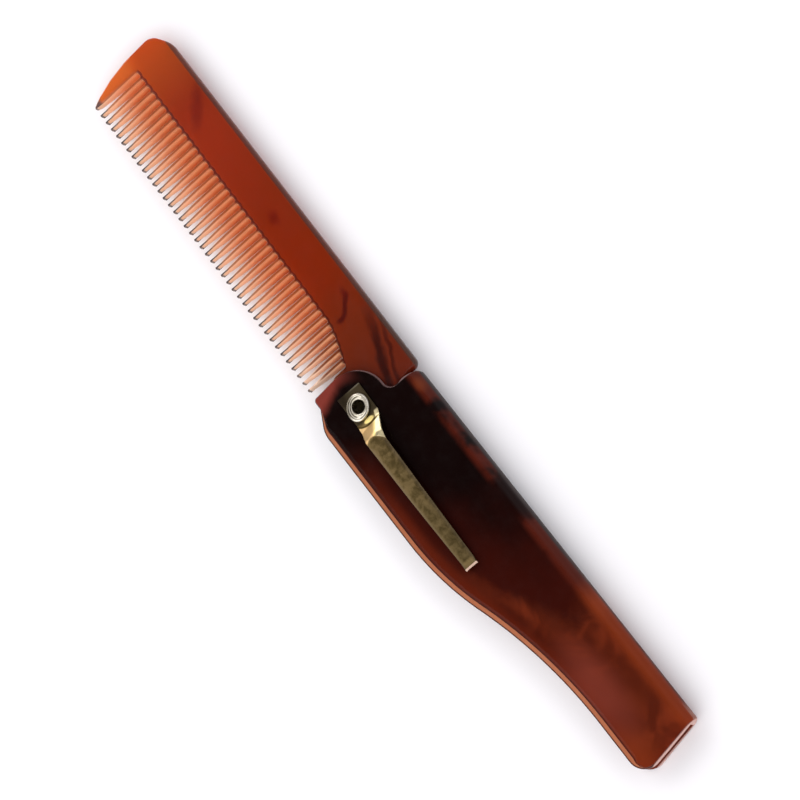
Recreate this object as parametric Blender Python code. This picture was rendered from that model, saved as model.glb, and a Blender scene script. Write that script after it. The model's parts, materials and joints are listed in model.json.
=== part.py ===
"""A folding pocket comb: a fine-toothed comb that turns on a hollow rivet and folds,
teeth first, into a flat slotted case with a spring clip on its front.

The comb is shown open, lying on the back of its case. +X runs from the comb's tip to the
case's end, +Y towards the comb's back and the case's closed side, +Z up through the clip.
Lengths are worked out in millimetres about the rivet's axis and placed in metres."""

import math

import bmesh
import bpy
from mathutils import Matrix, Vector

MM = 0.001

# Case, in millimetres from the rivet's axis
CASE_THICK = 6.0
WALL = 1.3
CLOSED_Y = 13.85
CLOSED_WALL = 1.5
CLOSED_ROUND = 2.4
NOTCH_X = 1.05
NOTCH_CORNER = 1.3
NOTCH_FILLET = 1.9
DOME_CENTRE = (-1.1, -0.6)
DOME_RADIUS = 7.2
EAR_X = -7.8
EAR_Y = -6.8
EAR_FLAT_END = -5.4
EAR_CORNER = 0.9
BELLY_START = -1.0
BELLY_Y = -9.2
BELLY_CORNER = 6.0
SHOULDER_X = 27.5
NECK_X = 79.0
NECK_Y = -1.25
SHOULDER_SHARE = 0.38
END_LOW_X = 92.53
END_HIGH_X = 89.85
END_LOW_CORNER = 3.6
END_HIGH_CORNER = 0.8
OPEN_CHAMFER = 1.8
OPEN_CHAMFER_START = 1.2
OPEN_CHAMFER_DEPTH = 0.75
EDGE_CHAMFER = 0.35
CASE_LEVELS = (0.0, 0.35, 1.0, 3.0, 5.0, 5.25, 5.6, 6.0)
CUTTER_REACH = 30.0

# Comb, in millimetres from the rivet's axis
COMB_THICK = 2.8
TOOTH_TIP_THICK = 1.6
BACK_Y = 14.4
BACK_ROUND = 0.8
HEEL_X = 0.74
HEEL_CORNER = 1.6
NOSE_CORNERS = ((-88.6, BACK_Y, 5.0), (-92.75, 12.4, 2.6))
GUARD_SIDE = ((-92.1, 4.0), (-91.15, -0.8), (-89.95, -4.6))
GUARD_TIP = ((-89.0, -6.6), (-88.5, -6.95))
GUARD_ROUND = 0.3
FINE_TEETH = 40
PITCH = 1.945
LAST_TOOTH_X = -10.5
TOOTH_WIDTH = 1.04
TOOTH_END_WIDTH = 0.5
TOOTH_POINT = 0.9
TIPS_Y = -7.0
ROOTS_Y = 5.35
ROOT_DROP_X = -19.5
ROOT_DROP = 0.09
ROOT_DROP_POWER = 1.5
TANG_X = -8.0
TANG_RADIUS = 6.2
HEEL_STRAIGHT = (6.6, 8.85)
OPEN_ANGLE = math.radians(-0.7)

# Rivet and clip, in millimetres
BARREL_RADIUS = 1.6
BORE_RADIUS = 1.32
FLANGE_RADIUS = 2.65
FLANGE_THICK = 0.45
ROLL_HEIGHT = 0.75
RUNNING_GAP = 0.3
SEAT_GAP = 0.15
SHEET = 0.5
PLATE_X = -4.0
PLATE_EDGES = (-2.75, 2.9)
RISER_START = 3.1
RISER_END = 6.9
RISER_HEIGHT = 2.3
ARM_START_EDGES = (-3.1, 1.1)
ARM_END_EDGES = (-3.2, -0.1)
ARM_LOW_X = 38.2
ARM_LOW_HEIGHT = 0.15
ARM_BOW = 0.25
ARM_TIP_X = 39.8
ARM_TIP_RISE = 0.75
BEND = 0.4

ROUND_SIDES = 32


def arc(centre, radius, start, end, steps):
    """Points on a circle from the angle start to the angle end, in degrees."""
    angles = [math.radians(start + (end - start) * i / steps) for i in range(steps + 1)]
    return [
        (centre[0] + radius * math.cos(a), centre[1] + radius * math.sin(a))
        for a in angles
    ]


def rounded_corner(before, corner, after, radius, steps):
    """The arc of the given radius that touches both lines through corner."""
    here = Vector(corner)
    back = (Vector(before) - here).normalized()
    ahead = (Vector(after) - here).normalized()
    half = back.angle(ahead) / 2
    middle = here + (back + ahead).normalized() * radius / math.sin(half)
    first = here + back * radius / math.tan(half) - middle
    last = here + ahead * radius / math.tan(half) - middle
    sweep = first.angle_signed(last)
    turned = [Matrix.Rotation(-sweep * i / steps, 2) @ first for i in range(steps + 1)]
    return [tuple(middle + t) for t in turned]


def s_curve(start, end, share, steps):
    """Two arcs that meet smoothly and leave and arrive along X. share is the first arc's
    part of the length. With a rise of d over a length of l, both turn by 2 atan(d / l)."""
    length, rise = end[0] - start[0], end[1] - start[1]
    turn = 2 * math.atan(rise / length)
    total = length / math.sin(turn)
    low, high = total * share, total * (1 - share)
    first = arc((start[0], start[1] + low), low, -90, -90 + math.degrees(turn), steps)
    second = arc((end[0], end[1] - high), high, 90 + math.degrees(turn), 90, steps)
    return first + second[1:]


def with_widths(points, start, end):
    """Pairs of a point and a width that goes evenly from start to end."""
    last = max(len(points) - 1, 1)
    return [(p, start + (end - start) * i / last) for i, p in enumerate(points)]


def case_outline():
    """The case's edge, anticlockwise from the notch. Each row is the point, the width of
    its front chamfer, and 1 if it belongs to the rounded closed side."""
    notch_corner = arc(
        (NOTCH_X + NOTCH_CORNER, CLOSED_Y - NOTCH_CORNER), NOTCH_CORNER, 90, 180, 4
    )
    fillet_x = NOTCH_X - NOTCH_FILLET
    reach = DOME_RADIUS + NOTCH_FILLET
    fillet_y = DOME_CENTRE[1] + math.sqrt(reach**2 - (fillet_x - DOME_CENTRE[0]) ** 2)
    fillet = arc((fillet_x, fillet_y), NOTCH_FILLET, 0, -90, 5)
    dome = arc(DOME_CENTRE, DOME_RADIUS, 97, 180, 12)
    ear = (EAR_X, EAR_Y)
    ear_end = (EAR_FLAT_END, EAR_Y)
    belly = (BELLY_START, BELLY_Y)
    ear_corner = rounded_corner(dome[-1], ear, ear_end, EAR_CORNER, 4)
    belly_corner = rounded_corner(
        ear_end, belly, (SHOULDER_X, BELLY_Y), BELLY_CORNER, 5
    )
    neck = s_curve((SHOULDER_X, BELLY_Y), (NECK_X, NECK_Y), SHOULDER_SHARE, 10)
    low = (END_LOW_X, NECK_Y)
    high = (END_HIGH_X, CLOSED_Y)
    low_corner = rounded_corner(neck[-1], low, high, END_LOW_CORNER, 5)
    high_corner = rounded_corner(
        low, high, (NOTCH_X, CLOSED_Y), END_HIGH_CORNER, 3
    )
    open_edge = with_widths(belly_corner, OPEN_CHAMFER_START, OPEN_CHAMFER)
    open_edge += [(p, OPEN_CHAMFER) for p in neck]
    open_edge += with_widths(low_corner, OPEN_CHAMFER, EDGE_CHAMFER)
    rows = [(p, 0.0, 1.0) for p in notch_corner]
    rows += [(p, EDGE_CHAMFER, 0.0) for p in fillet + dome + ear_corner + [ear_end]]
    rows += [(p, width, 0.0) for p, width in open_edge]
    rows += [(p, 0.0, 1.0) for p in high_corner]
    return rows


def outward(points, index):
    """The outward normal at a point of an anticlockwise outline."""
    before = Vector(points[index - 1])
    after = Vector(points[(index + 1) % len(points)])
    along = (after - before).normalized()
    return Vector((along.y, -along.x))


def solid_from_rings(name, rings):
    """A closed mesh from rings of equally many points, lowest first, with flat ends."""
    mesh = bmesh.new()
    levels = [[mesh.verts.new(Vector(p) * MM) for p in ring] for ring in rings]
    count = len(levels[0])
    mesh.faces.new(list(reversed(levels[0])))
    mesh.faces.new(levels[-1])
    for lower, upper in zip(levels, levels[1:]):
        for i in range(count):
            j = (i + 1) % count
            mesh.faces.new((lower[i], lower[j], upper[j], upper[i]))
    return finish_mesh(name, mesh)


def finish_mesh(name, mesh):
    """Turns a bmesh into an object with its origin on the rivet's axis."""
    data = bpy.data.meshes.new(name)
    mesh.to_mesh(data)
    mesh.free()
    thing = bpy.data.objects.new(name, data)
    bpy.context.scene.collection.objects.link(thing)
    return thing


def clamp(value):
    return min(max(value, 0.0), 1.0)


def case_ring(rows, level):
    """The case's edge at a height. The closed side is half an ellipse in section, the
    front has its chamfer and the back a small one."""
    points = [row[0] for row in rows]
    half = CASE_THICK / 2
    closed_drop = CLOSED_ROUND * (1 - math.sqrt(max(1 - ((level - half) / half) ** 2, 0)))
    front = clamp((level - CASE_THICK + OPEN_CHAMFER_DEPTH) / OPEN_CHAMFER_DEPTH)
    back = EDGE_CHAMFER * clamp(1 - level / EDGE_CHAMFER)
    ring = []
    for i, (point, chamfer, closed) in enumerate(rows):
        inset = outward(points, i) * (chamfer * front + back * (1 - closed))
        ring.append((point[0] - inset.x, point[1] - inset.y - closed_drop * closed, level))
    return ring


def cut(thing, cutter):
    """Takes cutter's shape out of thing with a live Boolean."""
    cutter.hide_render = True
    cutter.display_type = "WIRE"
    cutter.parent = thing
    boolean = thing.modifiers.new("cut_" + cutter.name, "BOOLEAN")
    boolean.operation = "DIFFERENCE"
    boolean.solver = "EXACT"
    boolean.object = cutter


def cylinder(name, radius, low, high):
    """A round cutter on the rivet's axis, between two heights in millimetres."""
    mesh = bmesh.new()
    bmesh.ops.create_cone(
        mesh,
        cap_ends=True,
        segments=ROUND_SIDES,
        radius1=radius * MM,
        radius2=radius * MM,
        depth=(high - low) * MM,
        matrix=Matrix.Translation((0, 0, (low + high) / 2 * MM)),
    )
    return finish_mesh(name, mesh)


def block(name, low, high):
    """A box cutter between two corners in millimetres."""
    ring = [(low[0], low[1]), (high[0], low[1]), (high[0], high[1]), (low[0], high[1])]
    return solid_from_rings(name, [[(*p, z) for p in ring] for z in (low[2], high[2])])


def make_case():
    """One channel: a front and a back wall joined along the closed side, open all round
    the rest, with the rivet's holes and a seat for its rear flange."""
    rows = case_outline()
    case = solid_from_rings("case", [case_ring(rows, z) for z in CASE_LEVELS])
    slot = block(
        "slot_cutter",
        (-CUTTER_REACH, -CUTTER_REACH, WALL),
        (END_LOW_X + CUTTER_REACH, CLOSED_Y - CLOSED_WALL, CASE_THICK - WALL),
    )
    cut(case, slot)
    cut(case, cylinder("hole_cutter", BARREL_RADIUS + RUNNING_GAP, -1, CASE_THICK + 1))
    cut(
        case,
        cylinder(
            "seat_cutter",
            FLANGE_RADIUS + RUNNING_GAP,
            -1,
            FLANGE_THICK + RUNNING_GAP,
        ),
    )
    return case


def root_y(x):
    """The height of the gaps' round ends, which drops in a curve near the heel."""
    return ROOTS_Y - ROOT_DROP * max(0.0, x - ROOT_DROP_X) ** ROOT_DROP_POWER


def tooth_x(number):
    return LAST_TOOTH_X - (FINE_TEETH - number) * PITCH


def gap_arc(left, right, steps):
    """A gap's round end, from its left side to its right side."""
    radius = (right - left) / 2
    middle = (left + right) / 2
    return arc((middle, root_y(middle) - radius), radius, 180, 0, steps)


def comb_outline():
    """The comb's edge, anticlockwise from the heel. Each row is the point, how much of
    the back's rounding it has, and its share of the way from body to tooth tip."""
    heel = arc((HEEL_X - HEEL_CORNER, BACK_Y - HEEL_CORNER), HEEL_CORNER, 0, 90, 5)
    nose_path = [heel[-1]] + [c[:2] for c in NOSE_CORNERS] + [GUARD_SIDE[0]]
    nose = []
    for i, (x, y, radius) in enumerate(NOSE_CORNERS):
        nose += rounded_corner(nose_path[i], (x, y), nose_path[i + 2], radius, 4)
    rows = [(p, 1.0, 0.0) for p in heel + nose]
    span = ROOTS_Y - TIPS_Y

    def drop(y):
        return clamp((ROOTS_Y - y) / span)

    point_drop = drop(TIPS_Y + TOOTH_POINT)
    rows += [(p, 1.0 - 2 * GUARD_ROUND * drop(p[1]), drop(p[1])) for p in GUARD_SIDE]
    half = TOOTH_WIDTH / 2
    tip_half = TOOTH_END_WIDTH / 2
    guard_inner = tooth_x(1) + half - PITCH
    rows += [
        *[(p, GUARD_ROUND, 1.0) for p in GUARD_TIP],
        ((guard_inner - half / 2, TIPS_Y + TOOTH_POINT), 0.0, point_drop),
    ]
    for number in range(1, FINE_TEETH + 1):
        x = tooth_x(number)
        rows += [(p, 0.0, 0.0) for p in gap_arc(x + half - PITCH, x - half, 4)]
        rows += [
            ((x - tip_half, TIPS_Y + TOOTH_POINT), 0.0, point_drop),
            ((x - tip_half / 2, TIPS_Y), 0.0, 1.0),
            ((x + tip_half / 2, TIPS_Y), 0.0, 1.0),
            ((x + tip_half, TIPS_Y + TOOTH_POINT), 0.0, point_drop),
        ]
    rows += [(p, 0.0, 0.0) for p in gap_arc(LAST_TOOTH_X + half, TANG_X, 5)]
    tang = arc((0, 0), TANG_RADIUS, 190, 445, 24)
    joint_y = math.sqrt(TANG_RADIUS**2 - HEEL_X**2)
    rows += [(p, 0.0, 0.0) for p in tang if p[0] < HEEL_X or p[1] < joint_y]
    rows += [((HEEL_X, HEEL_STRAIGHT[0]), 0.0, 0.0), ((HEEL_X, HEEL_STRAIGHT[1]), 0.5, 0.0)]
    return rows


def comb_ring(rows, level):
    """The comb's edge at a level from -1, its back face, to 1, its front face."""
    points = [row[0] for row in rows]
    body, tip = COMB_THICK / 2, TOOTH_TIP_THICK / 2
    edge = clamp((abs(level) * body - (body - BACK_ROUND)) / BACK_ROUND)
    ring = []
    for i, (point, rounding, drop) in enumerate(rows):
        inset = outward(points, i) * (BACK_ROUND * rounding * edge)
        height = body + (tip - body) * drop
        ring.append(
            (point[0] - inset.x, point[1] - inset.y, CASE_THICK / 2 + level * height)
        )
    return ring


def make_comb():
    """One plate: a round-edged back, a guard tooth, fine teeth that thin towards their
    tips, and the tang with the rivet's hole."""
    rows = comb_outline()
    flat = 1 - BACK_ROUND / (COMB_THICK / 2)
    rings = [comb_ring(rows, level) for level in (-1, -flat, flat, 1)]
    mesh = bmesh.new()
    levels = [[mesh.verts.new(Vector(p) * MM) for p in ring] for ring in rings]
    count = len(rows)
    for lower, upper in zip(levels, levels[1:]):
        for i in range(count):
            j = (i + 1) % count
            mesh.faces.new((lower[i], lower[j], upper[j], upper[i]))
    for face, order in ((levels[0], -1), (levels[-1], 1)):
        for loop in plate_faces(rows):
            mesh.faces.new([face[i] for i in loop][::order])
    comb = finish_mesh("comb", mesh)
    cut(comb, cylinder("pivot_cutter", BARREL_RADIUS + RUNNING_GAP, 0, CASE_THICK))
    return comb


def plate_faces(rows):
    """Corner numbers of the flat body and of each sloping tooth, anticlockwise. A tooth
    runs between the two points of no drop on either side of its tip."""
    body, teeth, tooth = [], [], []
    for i, row in enumerate(rows):
        if row[2] > 0:
            tooth.append(i)
            continue
        if tooth:
            teeth.append([tooth[0] - 1, *tooth, i])
            tooth = []
        body.append(i)
    return [body, *teeth]


def lathe(name, profile):
    """Turns a closed outline of radius and height about the rivet's axis."""
    mesh = bmesh.new()
    rings = []
    for step in range(ROUND_SIDES):
        turn = Matrix.Rotation(2 * math.pi * step / ROUND_SIDES, 3, "Z")
        rings.append([mesh.verts.new(turn @ Vector((r, 0, z)) * MM) for r, z in profile])
    count = len(profile)
    for i, ring in enumerate(rings):
        ahead = rings[(i + 1) % ROUND_SIDES]
        for j in range(count):
            k = (j + 1) % count
            mesh.faces.new((ring[j], ahead[j], ahead[k], ring[k]))
    return finish_mesh(name, mesh)


def make_eyelet():
    """A hollow rivet. Its rear flange sits in the case's back, and its front edge is
    rolled over the clip's plate."""
    rear = FLANGE_THICK
    seat = CASE_THICK + 2 * SEAT_GAP + SHEET
    top = seat + ROLL_HEIGHT
    middle = (BORE_RADIUS + FLANGE_RADIUS) / 2
    profile = [
        (BORE_RADIUS, 0.1),
        (FLANGE_RADIUS, 0.1),
        (FLANGE_RADIUS, rear),
        (BARREL_RADIUS, rear),
        (BARREL_RADIUS, seat),
        (FLANGE_RADIUS - 0.1, seat),
        (FLANGE_RADIUS, seat + 0.3 * ROLL_HEIGHT),
        (FLANGE_RADIUS - 0.2, seat + 0.75 * ROLL_HEIGHT),
        (middle, top),
        (BORE_RADIUS + 0.2, seat + 0.8 * ROLL_HEIGHT),
        (BORE_RADIUS, seat + 0.3 * ROLL_HEIGHT),
    ]
    return lathe("eyelet", profile)


def clip_stations():
    """The clip's middle line from plate to tip: x, height and the two edges there. The
    arm comes down from the riser in a straight line with a small bow."""
    base = CASE_THICK + SEAT_GAP + SHEET / 2
    stations = [
        (PLATE_X, base, *PLATE_EDGES),
        (RISER_START - BEND, base, *PLATE_EDGES),
        (RISER_START + BEND, base + BEND / 2, *PLATE_EDGES),
        (RISER_END - BEND, base + RISER_HEIGHT - BEND / 2, *ARM_START_EDGES),
    ]
    steps = 10
    for i in range(steps + 1):
        t = i / steps
        x = RISER_END + BEND + (ARM_LOW_X - RISER_END - BEND) * t
        height = RISER_HEIGHT + (ARM_LOW_HEIGHT - RISER_HEIGHT) * t
        bow = ARM_BOW * math.sin(math.pi * t)
        edges = [
            a + (b - a) * t for a, b in zip(ARM_START_EDGES, ARM_END_EDGES, strict=True)
        ]
        stations.append((x, base + height + bow, *edges))
    stations.append((ARM_TIP_X, base + ARM_TIP_RISE, *ARM_END_EDGES))
    return stations


def make_clip():
    """A strip of spring brass: a plate under the rivet, a riser and a long tapered arm."""
    stations = clip_stations()
    rings = []
    for i, (x, z, low, high) in enumerate(stations):
        before = stations[max(i - 1, 0)]
        after = stations[min(i + 1, len(stations) - 1)]
        along = Vector((after[0] - before[0], after[1] - before[1])).normalized()
        side = Vector((-along.y, along.x)) * SHEET / 2
        rings.append(
            [
                (x - side.x, low, z - side.y),
                (x - side.x, high, z - side.y),
                (x + side.x, high, z + side.y),
                (x + side.x, low, z + side.y),
            ]
        )
    clip = solid_from_rings("clip", rings)
    hole = BARREL_RADIUS + RUNNING_GAP
    cut(clip, cylinder("clip_cutter", hole, CASE_THICK - SHEET, CASE_THICK + 3 * SHEET))
    return clip


def give_material(thing, colour, roughness, metallic):
    """A plain finish in the piece's own colour."""
    material = bpy.data.materials.new(thing.name + "_finish")
    material.use_nodes = True
    shader = material.node_tree.nodes["Principled BSDF"]
    shader.inputs["Base Color"].default_value = (*colour, 1)
    shader.inputs["Roughness"].default_value = roughness
    shader.inputs["Metallic"].default_value = metallic
    thing.data.materials.append(material)


def rivet_place():
    """Where the rivet's axis stands, so that the open comb's box is centred on the
    origin. The comb's corners are turned by its open angle, the case's lie square."""
    turn = Matrix.Rotation(OPEN_ANGLE, 2)
    comb = [turn @ Vector(row[0]) for row in comb_outline()]
    lowest = case_ring(case_outline(), EDGE_CHAMFER)
    xs = [p.x for p in comb] + [p[0] for p in lowest]
    ys = [p.y for p in comb] + [p[1] for p in lowest]
    middle = Vector((min(xs) + max(xs), min(ys) + max(ys), 0)) / 2
    return -middle * MM


def main():
    for thing in list(bpy.data.objects):
        bpy.data.objects.remove(thing)
    rivet = rivet_place()
    case = make_case()
    comb = make_comb()
    eyelet = make_eyelet()
    clip = make_clip()
    for thing in (case, comb, eyelet, clip):
        thing.location = rivet
        thing.data.set_sharp_from_angle(angle=math.radians(35))
    comb.rotation_euler.z = OPEN_ANGLE
    give_material(case, (0.10, 0.018, 0.010), 0.16, 0.0)
    give_material(comb, (0.30, 0.045, 0.012), 0.16, 0.0)
    give_material(eyelet, (0.72, 0.68, 0.55), 0.22, 1.0)
    give_material(clip, (0.30, 0.24, 0.10), 0.42, 1.0)


main()
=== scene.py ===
# %% [markdown]
# # A folding comb
#
# The object is a pocket comb of tortoiseshell acetate. A fine-toothed comb turns on a
# hollow rivet and folds, teeth first, into a flat case that is slotted along one side. A
# spring clip of tarnished brass is held under the rivet's rolled edge.
#
# The lesson dresses a measured frame. Each piece is a surface worked out with numpy, in
# millimetres from the rivet's axis, and moves with one of the frame's two bodies.

import bpy
import json
import numpy as np
from mathutils import Matrix, Vector

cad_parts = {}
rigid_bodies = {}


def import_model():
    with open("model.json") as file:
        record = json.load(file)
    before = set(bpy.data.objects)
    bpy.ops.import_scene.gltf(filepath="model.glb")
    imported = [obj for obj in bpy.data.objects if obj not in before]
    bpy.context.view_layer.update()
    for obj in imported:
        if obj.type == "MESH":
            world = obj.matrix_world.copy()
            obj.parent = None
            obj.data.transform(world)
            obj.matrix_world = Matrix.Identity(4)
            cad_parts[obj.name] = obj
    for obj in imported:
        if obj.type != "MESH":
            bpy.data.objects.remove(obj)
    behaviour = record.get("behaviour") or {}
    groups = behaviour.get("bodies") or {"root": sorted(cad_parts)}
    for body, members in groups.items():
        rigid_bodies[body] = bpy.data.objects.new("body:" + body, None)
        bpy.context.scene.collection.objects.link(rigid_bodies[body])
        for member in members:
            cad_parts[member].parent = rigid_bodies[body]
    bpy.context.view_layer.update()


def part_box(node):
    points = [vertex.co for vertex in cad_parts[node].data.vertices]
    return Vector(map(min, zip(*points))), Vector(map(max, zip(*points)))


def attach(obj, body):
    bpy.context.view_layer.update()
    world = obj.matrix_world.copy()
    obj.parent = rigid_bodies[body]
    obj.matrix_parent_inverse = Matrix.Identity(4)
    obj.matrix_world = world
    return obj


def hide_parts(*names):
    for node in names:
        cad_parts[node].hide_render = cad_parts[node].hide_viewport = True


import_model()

# %% [markdown]
# The rivet holds everything, so its axis is the lesson's own zero. It is read from the
# frame's box of the rivet, and not typed in, so the pieces stay where the frame is.

# %% Find the rivet
MM = 0.001
eyelet_low, eyelet_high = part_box("eyelet")
RIVET = np.array(
    [
        (eyelet_low[0] + eyelet_high[0]) / 2,
        (eyelet_low[1] + eyelet_high[1]) / 2,
        0.0,
    ]
)
print("rivet axis at", np.round(RIVET / MM, 2), "mm")

# %% [markdown]
# The camera stands where the photograph was taken: above the open comb, on the side of
# its back, with a long lens. A long lens from far off keeps the two long edges almost
# parallel. The last value says which way is up in the picture, and rolls the camera.

# %% Set up the camera
CAMERA_PLACE = Vector((0.17066, 0.0887, 0.5272))
CAMERA_TARGET = Vector((0.00266, 0.0031, 0.0))
PICTURE_UP = Vector((-0.75, 0.648, 0.134))
LENS = 126.0


def look_at(place, target, upward):
    """A camera's matrix: it looks along its own -Z at target, and +Y is upward made square."""
    back = (place - target).normalized()
    right = upward.cross(back).normalized()
    turn = Matrix((right, back.cross(right), back)).transposed()
    return Matrix.Translation(place) @ turn.to_4x4()


camera_data = bpy.data.cameras.new("camera")
camera_data.lens = LENS
camera_data.sensor_width = 36.0
camera_data.clip_start = 0.01
camera = bpy.data.objects.new("camera", camera_data)
camera.matrix_world = look_at(CAMERA_PLACE, CAMERA_TARGET, PICTURE_UP)
bpy.context.scene.collection.objects.link(camera)
bpy.context.scene.camera = camera
print("camera at", [round(v, 3) for v in CAMERA_PLACE], "lens", LENS, "mm")

# %% [markdown]
# Case and comb are flat things cut from sheet, so each starts as an outline: straight
# runs joined by arcs. Three helpers are enough. One draws an arc, one rounds a corner
# between two straight runs, and one joins two level runs with a soft S.


# %% Draw outlines
def arc(centre, radius, start, end, steps):
    """Points at centre + radius (cos a, sin a), with a even from start to end in degrees."""
    a = np.radians(np.linspace(start, end, steps + 1))
    return np.stack((centre[0] + radius * np.cos(a), centre[1] + radius * np.sin(a)), 1)


def corner(before, here, after, radius, steps):
    """The arc that touches both lines through here. Its centre lies on the line that
    halves the corner, radius / sin(half the angle) away."""
    before, here, after = (np.array(p, float) for p in (before, here, after))
    back = (before - here) / np.linalg.norm(before - here)
    ahead = (after - here) / np.linalg.norm(after - here)
    half = np.arccos(np.clip(back @ ahead, -1, 1)) / 2
    centre = here + (back + ahead) / np.linalg.norm(back + ahead) * radius / np.sin(half)
    first = here + back * radius / np.tan(half) - centre
    last = here + ahead * radius / np.tan(half) - centre
    turn = np.arctan2(first[0] * last[1] - first[1] * last[0], first @ last)
    a = np.arctan2(first[1], first[0]) + turn * np.linspace(0, 1, steps + 1)
    return centre + radius * np.stack((np.cos(a), np.sin(a)), 1)


def soft_s(start, end, share, steps):
    """Two arcs that meet smoothly and leave and arrive along X. With a rise of d over a
    length of l, each turns by 2 atan(d / l)."""
    length, rise = end[0] - start[0], end[1] - start[1]
    turn = 2 * np.arctan(rise / length)
    low = length / np.sin(turn) * share
    high = length / np.sin(turn) * (1 - share)
    degrees = np.degrees(turn)
    first = arc((start[0], start[1] + low), low, -90, -90 + degrees, steps)
    second = arc((end[0], end[1] - high), high, 90 + degrees, 90, steps)
    return np.concatenate((first, second[1:]))


def outward(outline):
    """The outward normal at each point of an anticlockwise outline: the line from the
    point before to the point after, turned a quarter clockwise."""
    along = np.roll(outline, -1, 0) - np.roll(outline, 1, 0)
    along /= np.linalg.norm(along, axis=1)[:, None]
    return np.stack((along[:, 1], -along[:, 0]), 1)


print("a quarter arc of four steps has", len(arc((0, 0), 1, 0, 90, 4)), "points")

# %% [markdown]
# A flat thing with shaped edges is a stack of such outlines, one above the other, each
# drawn in by its own amount. The stack's sides are quads between neighbouring rings, and
# its two ends are closed with flat faces. The helper puts the arrays straight into a mesh.


# %% Turn rings into a mesh
def place_mesh(name, points, faces):
    """A mesh object from points in millimetres about the rivet, with smooth faces."""
    mesh = bpy.data.meshes.new(name)
    mesh.from_pydata((points * MM + RIVET).tolist(), [], faces)
    mesh.update()
    mesh.shade_smooth()
    thing = bpy.data.objects.new(name, mesh)
    bpy.context.scene.collection.objects.link(thing)
    return thing


def stack(name, rings, ends):
    """Joins rings of shape (levels, points, 3), lowest first. ends lists the flat faces
    that close the stack, as point numbers in one ring, anticlockwise."""
    levels, count = rings.shape[:2]
    here = np.arange(count)
    ahead = np.roll(here, -1)
    side = np.stack((here, ahead, ahead + count, here + count), 1)
    sides = (side + np.arange(levels - 1)[:, None, None] * count).reshape(-1, 4)
    top = (levels - 1) * count
    faces = sides.tolist()
    faces += [loop[::-1] for loop in ends]
    faces += [[i + top for i in loop] for loop in ends]
    return place_mesh(name, rings.reshape(-1, 3), faces)


def carve(thing, *cutters):
    """Takes the cutters' shapes out of a piece and keeps the finished mesh."""
    for cutter in cutters:
        boolean = thing.modifiers.new("carve", "BOOLEAN")
        boolean.operation = "DIFFERENCE"
        boolean.solver = "EXACT"
        boolean.object = cutter
    graph = bpy.context.evaluated_depsgraph_get()
    mesh = bpy.data.meshes.new_from_object(thing.evaluated_get(graph))
    thing.modifiers.clear()
    thing.data = mesh
    for cutter in cutters:
        bpy.data.objects.remove(cutter)


def drum(name, radius, low, high, sides=64):
    """An upright cylinder on the rivet's axis."""
    ring = arc((0, 0), radius, 0, 360, sides)[:-1]
    rings = np.stack([np.c_[ring, np.full(sides, z)] for z in (low, high)])
    return stack(name, rings, [list(range(sides))])


def crease(thing, degrees):
    """Marks edges sharper than an angle, so that the light breaks there."""
    thing.data.set_sharp_from_angle(angle=np.radians(degrees))


print("helpers for meshes are ready")

# %% [markdown]
# The case is one bent channel. Its closed side is a soft bend, its ear round the rivet is
# a dome, and its open side swells into a belly, then draws in to a neck. The open side's
# front edge is planed off in a broad flat that catches the light.
#
# Each level of the stack has two heights and two insets, one for the bend and one for the
# cut edges, and every point of the outline takes one or the other.

# %% Draw the case's outline
CASE_THICK = 6.0
CLOSED_Y = 13.85
NOTCH_X = 1.05
NOTCH_ROUND = 1.3
DOME_CENTRE = (-1.1, -0.6)
DOME_RADIUS = 7.2
NOTCH_FILLET = 1.9
BELLY_Y = -9.2
NECK_Y = -1.25
EAR_LOW = (-7.8, -6.8)
EAR_END = (-5.4, -6.8)
BELLY_END_X = 27.5
NECK_START_X = 79.0
FAR_LOW = (92.53, NECK_Y)
FAR_HIGH = (89.85, CLOSED_Y)
# The far end's line for the finish: X at Y 0, and the fall in X for each step in Y.
END_LINE = (92.3, 0.1772)
PLANED_WIDTH = 1.8
EASED_WIDTH = 0.35


def case_outline():
    """The case's edge, anticlockwise from the notch, with the width of the planed flat at
    each point and whether the point is on the bend."""
    notch_centre = (NOTCH_X + NOTCH_ROUND, CLOSED_Y - NOTCH_ROUND)
    notch = arc(notch_centre, NOTCH_ROUND, 90, 180, 8)
    fillet_x = NOTCH_X - NOTCH_FILLET
    reach = DOME_RADIUS + NOTCH_FILLET
    fillet_y = DOME_CENTRE[1] + np.sqrt(reach**2 - (fillet_x - DOME_CENTRE[0]) ** 2)
    fillet = arc((fillet_x, fillet_y), NOTCH_FILLET, 0, -89, 10)
    dome = arc(DOME_CENTRE, DOME_RADIUS, 93, 180, 34)
    ear = corner(dome[-1], EAR_LOW, EAR_END, 0.9, 8)
    belly_end = (BELLY_END_X, BELLY_Y)
    belly = corner(EAR_END, (-1.0, BELLY_Y), belly_end, 6.0, 10)
    run = soft_s(belly_end, (NECK_START_X, NECK_Y), 0.38, 26)
    low_end = corner(run[-1], FAR_LOW, FAR_HIGH, 3.6, 14)
    high_end = corner(FAR_LOW, FAR_HIGH, (NOTCH_X, CLOSED_Y), 0.8, 6)
    parts = [
        (notch, 0, 0, 1),
        (np.concatenate((fillet, dome, ear, [EAR_END])), EASED_WIDTH, EASED_WIDTH, 0),
        (belly, 1.2, PLANED_WIDTH, 0),
        (run, PLANED_WIDTH, PLANED_WIDTH, 0),
        (low_end, PLANED_WIDTH, EASED_WIDTH - 1.2, 0),
        (high_end, 0, 0, 1),
    ]
    outline = np.concatenate([p for p, *_ in parts])
    planed = np.concatenate([np.linspace(a, b, len(p)) for p, a, b, _ in parts])
    bend = np.concatenate([np.full(len(p), float(c)) for p, _, _, c in parts])
    planed = np.where(bend > 0, 0.0, np.maximum(planed, EASED_WIDTH))
    return outline, planed, bend


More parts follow.
